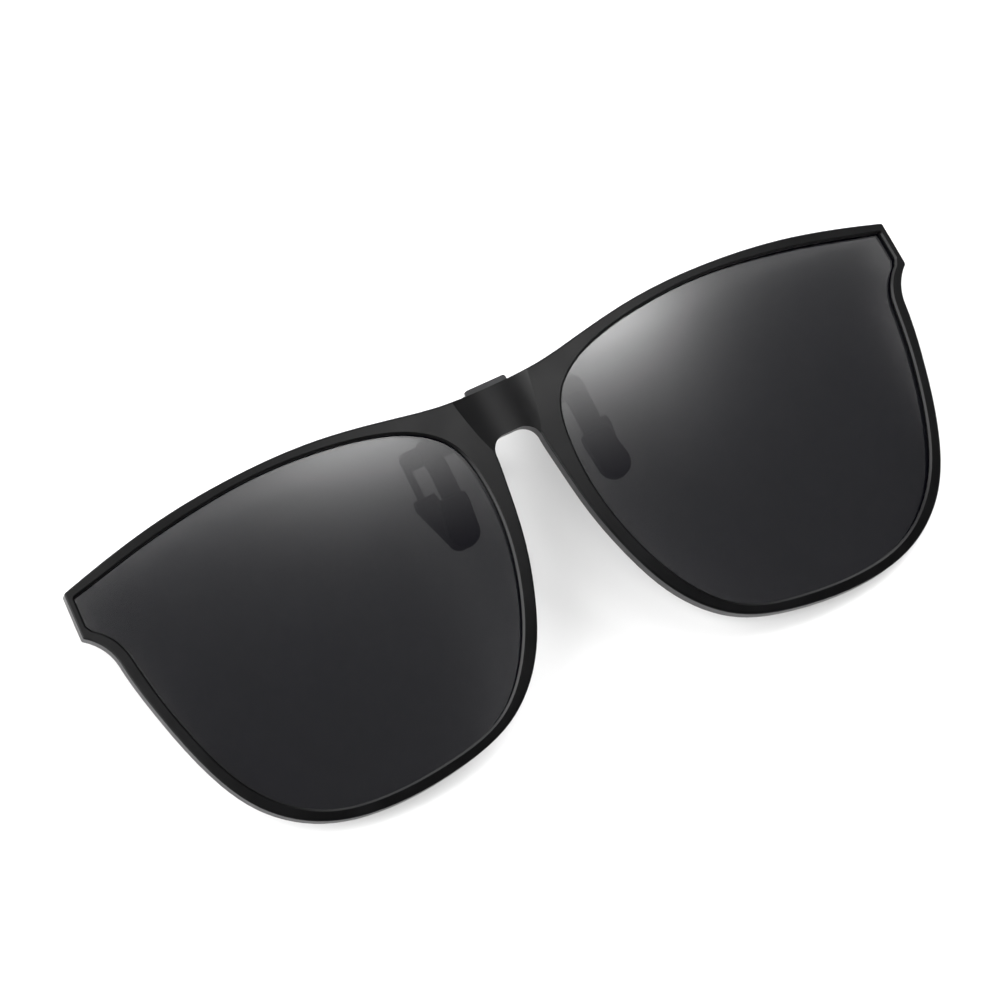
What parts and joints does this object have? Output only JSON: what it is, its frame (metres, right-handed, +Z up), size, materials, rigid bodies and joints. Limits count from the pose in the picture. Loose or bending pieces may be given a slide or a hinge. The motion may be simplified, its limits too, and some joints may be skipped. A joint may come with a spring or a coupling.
{
  "type": "clip-on sunglasses",
  "caption": "Flip-up clip-on sunglasses: dark lenses in a black one-piece front, hinged to a sprung clamp with rubber pads that grips the spectacles behind it.",
  "frame": {"origin": "centre of the object's footprint on the table it lies on, front up", "axes": "+X across the face to the right as seen from the front, +Y towards the top of the lenses, +Z up out of the front surface; the lenses lean 8 degrees from level as the object lies"},
  "size_m": [0.1468, 0.0566, 0.0155],
  "materials": {
    "frame_plastic": "matt black moulded nylon, lightly satin",
    "lens": "dark grey polarised lens, glossy",
    "black_steel": "black coated spring steel, satin",
    "bright_steel": "plain stainless steel",
    "pad_rubber": "soft black rubber"
  },
  "bodies": {
    "clip": {"front_jaw": "black_steel", "front_pad_left": "pad_rubber", "front_pad_right": "pad_rubber", "flip_pin": "bright_steel", "flip_washer_left": "bright_steel", "flip_washer_right": "bright_steel", "clamp_pin": "bright_steel", "torsion_spring": "bright_steel"},
    "front": {"front_frame": "frame_plastic", "lens_left": "lens", "lens_right": "lens", "hinge_bracket": "black_steel", "bracket_screw_left": "bright_steel", "bracket_screw_right": "bright_steel"},
    "rear_jaw": {"rear_jaw": "black_steel", "rear_pad_left": "pad_rubber", "rear_pad_right": "pad_rubber", "thumb_pad": "pad_rubber"}
  },
  "joints": [
    {"name": "flip_hinge", "type": "hinge", "parent": "clip", "child": "front", "pos_m": [0, 0.02314, 0.01127], "axis": [-1, 0, 0], "range_deg": [0, 90]},
    {"name": "clamp_hinge", "type": "hinge", "parent": "clip", "child": "rear_jaw", "pos_m": [0, 0.02009, 0.00856], "axis": [1, 0, 0], "range_deg": [0, 13], "stiffness_Nm_per_rad": 0.015, "springref_deg": -85.94, "deforming": ["torsion_spring"]}
  ]
}
